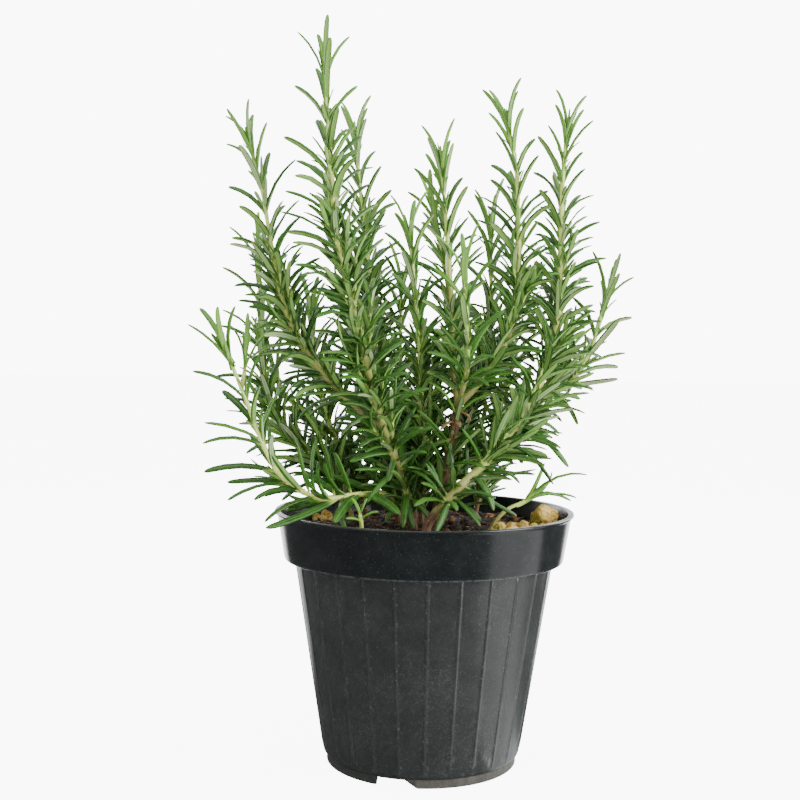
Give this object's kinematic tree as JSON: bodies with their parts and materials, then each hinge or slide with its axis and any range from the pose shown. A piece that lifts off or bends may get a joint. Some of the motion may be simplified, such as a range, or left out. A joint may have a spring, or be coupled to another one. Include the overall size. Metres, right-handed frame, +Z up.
{
  "type": "potted rosemary plant",
  "caption": "Bushy rosemary plant with upright needle-leaved stems, growing in soil in a round tapered nursery pot with a ribbed wall and a smooth collar.",
  "frame": {"origin": "on the pot's axis, on the surface that the pot stands on", "axes": "+Z up along the plant; -Y is the front that the picture shows; +X to the viewer's right"},
  "size_m": [0.206, 0.1398, 0.3347],
  "materials": {
    "pot_plastic": "near-black injection-moulded polypropylene, semi-gloss, dusty",
    "potting_soil": "dark crumbly peat with bark fibres",
    "clay_clod": "dry ochre clay, rough",
    "foliage": "dark green, slightly glossy leaves, pale felted undersides, pale green stems"
  },
  "bodies": {
    "root": {"pot": "pot_plastic", "soil": "potting_soil", "clod_1": "clay_clod", "clod_2": "clay_clod", "clod_3": "clay_clod", "clod_4": "clay_clod", "clod_5": "clay_clod", "leafy_stem_tall": "foliage", "leafy_stem_behind": "foliage", "leafy_stem_left": "foliage", "leafy_stem_low_left": "foliage", "leafy_stem_middle": "foliage", "leafy_stem_centre": "foliage", "leafy_stem_inner_right": "foliage", "leafy_stem_right": "foliage", "leafy_stem_back_left": "foliage", "leafy_stem_back": "foliage", "leafy_stem_back_right": "foliage", "leafy_sprig_front": "foliage", "leafy_sprig_right": "foliage"}
  },
  "joints": []
}
